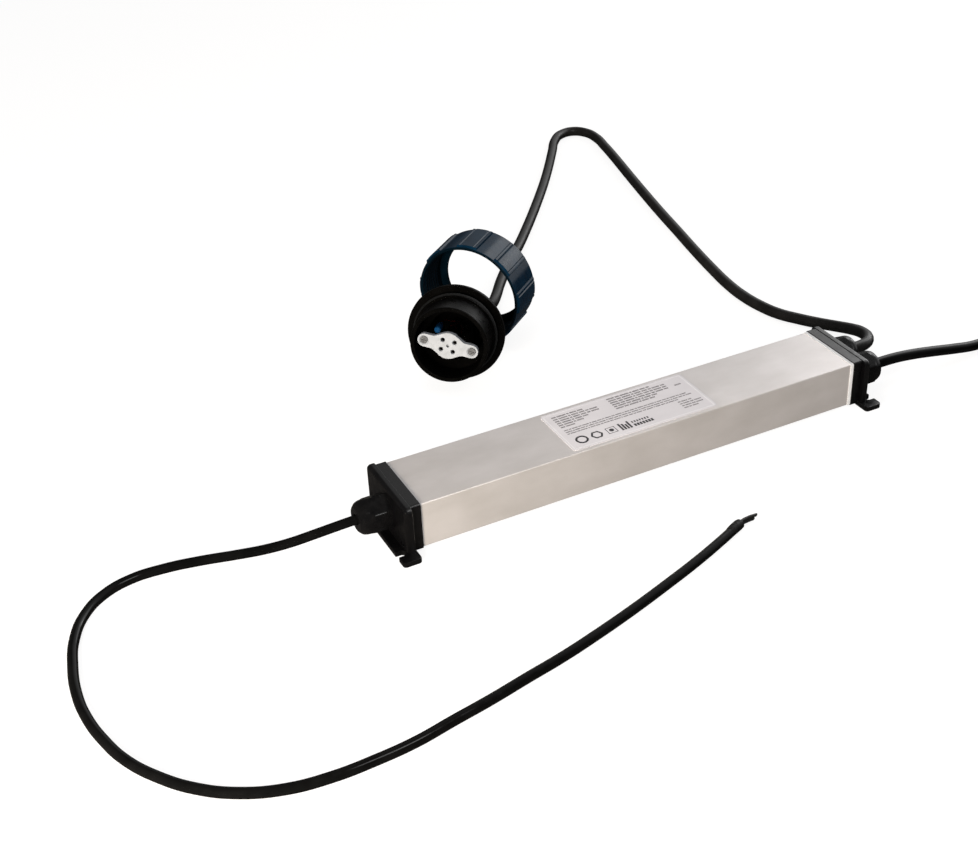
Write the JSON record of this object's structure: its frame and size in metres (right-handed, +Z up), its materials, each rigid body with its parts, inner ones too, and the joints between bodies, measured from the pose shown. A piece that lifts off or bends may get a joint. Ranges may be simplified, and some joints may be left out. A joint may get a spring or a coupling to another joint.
{
  "type": "lamp ballast",
  "caption": "Ultraviolet lamp ballast: aluminium tube case with black end caps and glands, a mains lead, a control lead, and a lamp lead with ceramic lamp holder and union nut.",
  "frame": {"origin": "under the middle of the tube, in the plane that the feet stand on", "axes": "+X along the tube towards the end with two glands, +Y away from the viewer, +Z up"},
  "size_m": [0.8486, 0.7801, 0.089],
  "materials": {
    "housing": "satin extruded aluminium",
    "gasket": "white silicone",
    "cap": "black moulded plastic, semi-gloss",
    "steel": "zinc-plated screw",
    "label": "silver film with plain printed fields",
    "gland": "black nylon",
    "seal": "black rubber",
    "board": "green circuit board",
    "tray": "ivory insulating sheet",
    "terminal": "green terminal block",
    "core_brown": "insulated core",
    "core_blue": "insulated core",
    "fuse_glass": "glass tube with metal ends",
    "brass": "spring brass",
    "ferrite": "ferrite",
    "winding": "enamelled copper wire",
    "capacitor_yellow": "boxed film capacitor",
    "dark_epoxy": "moulded epoxy",
    "capacitor_blue": "sleeved capacitor can",
    "heat_sink": "plain aluminium angle",
    "capacitor_red": "dipped film capacitor",
    "control_lead": "black sheath",
    "core_black": "insulated core",
    "mains_lead": "black sheath",
    "tie": "woven strap",
    "plug": "moulded plug",
    "pin": "nickel-plated pin",
    "lamp_lead": "black sheath",
    "holder": "black moulded plastic",
    "ceramic": "white ceramic",
    "core_red": "insulated wire",
    "splice": "blue insulated splice",
    "union": "dark blue moulded plastic"
  },
  "bodies": {
    "root": {"housing": "housing", "gasket_left": "gasket", "gasket_right": "gasket", "end_cap_left": "cap", "end_cap_right": "cap", "cap_screws": "steel", "label": "label", "control_gland_body": "gland", "control_gland_seal": "seal", "control_gland_nut": "gland", "control_gland_locknut": "gland", "mains_gland_body": "gland", "mains_gland_seal": "seal", "mains_gland_nut": "gland", "mains_gland_locknut": "gland", "lamp_gland_body": "gland", "lamp_gland_seal": "seal", "lamp_gland_nut": "gland", "lamp_gland_locknut": "gland", "circuit_board": "board", "insulating_tray": "tray", "mains_terminal": "terminal", "lamp_terminal": "terminal", "control_terminal": "terminal", "mains_cores": "core_brown", "lamp_cores": "core_blue", "control_cores": "core_brown", "fuse": "fuse_glass", "fuse_clips": "brass", "choke_core": "ferrite", "choke_winding": "winding", "suppression_capacitor": "capacitor_yellow", "bridge_rectifier": "dark_epoxy", "bulk_capacitor": "capacitor_blue", "heat_sink": "heat_sink", "transistor_1": "dark_epoxy", "transistor_2": "dark_epoxy", "inductor_core": "ferrite", "inductor_winding": "winding", "resonant_capacitor": "capacitor_red", "control_lead": "control_lead", "control_ends": "core_black", "mains_lead": "mains_lead", "mains_coil": "mains_lead", "coil_ties": "tie", "plug_body": "plug", "plug_pins": "pin", "lamp_lead": "lamp_lead", "holder_cup": "holder", "holder_seal": "seal", "holder_gland_seal": "seal", "holder_gland_nut": "holder", "lamp_socket": "ceramic", "socket_screws": "steel", "socket_contacts": "brass", "socket_wires": "core_red", "wire_splice": "splice", "union_nut": "union"}
  },
  "joints": []
}
